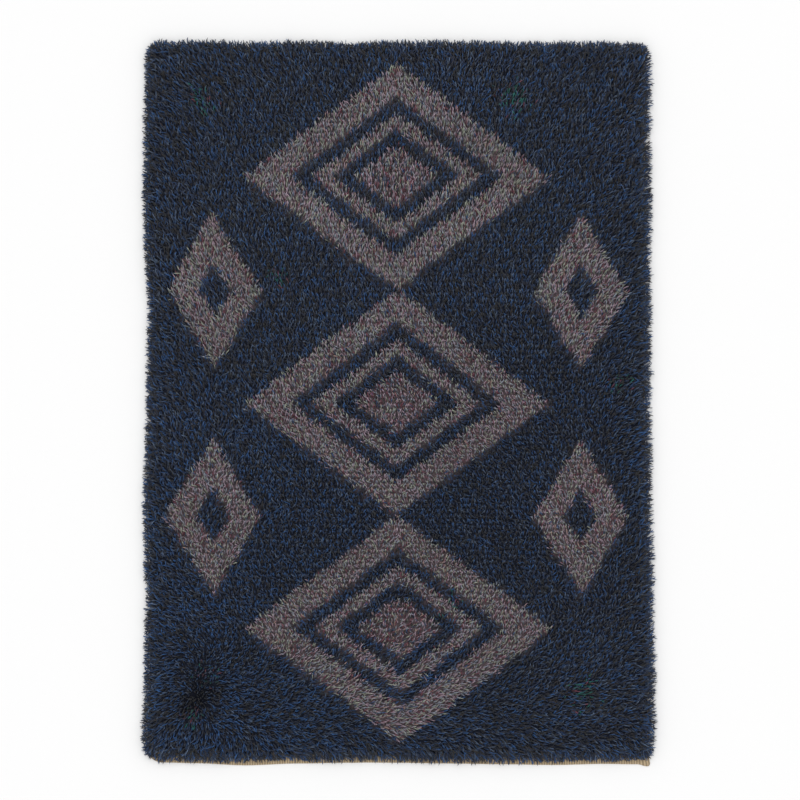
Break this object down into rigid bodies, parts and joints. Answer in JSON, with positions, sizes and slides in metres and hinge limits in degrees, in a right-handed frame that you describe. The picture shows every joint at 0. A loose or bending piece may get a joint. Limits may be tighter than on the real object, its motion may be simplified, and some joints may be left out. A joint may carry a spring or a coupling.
{
  "type": "hand-knotted shag rug",
  "caption": "Long flat rectangular rug with a deep combed woollen pile knotted into a thin tan woven ground, its rim edged with drooping locks of yarn.",
  "frame": {"origin": "on the floor, under the middle of the rug's box", "axes": "+Y along the rug's length, the way most of the pile is combed; +X across it, to the right as seen from above with +Y up; +Z up out of the pile"},
  "size_m": [1.424, 2.0076, 0.0266],
  "materials": {
    "ground_weave": "plain ribbed weave of undyed tan wool, matt",
    "pile": "long two-ply woollen yarn in navy, slate and black, with grey, mauve and beige in the figure"
  },
  "bodies": {
    "root": {"ground_weave": "ground_weave", "pile": "pile"}
  },
  "joints": []
}
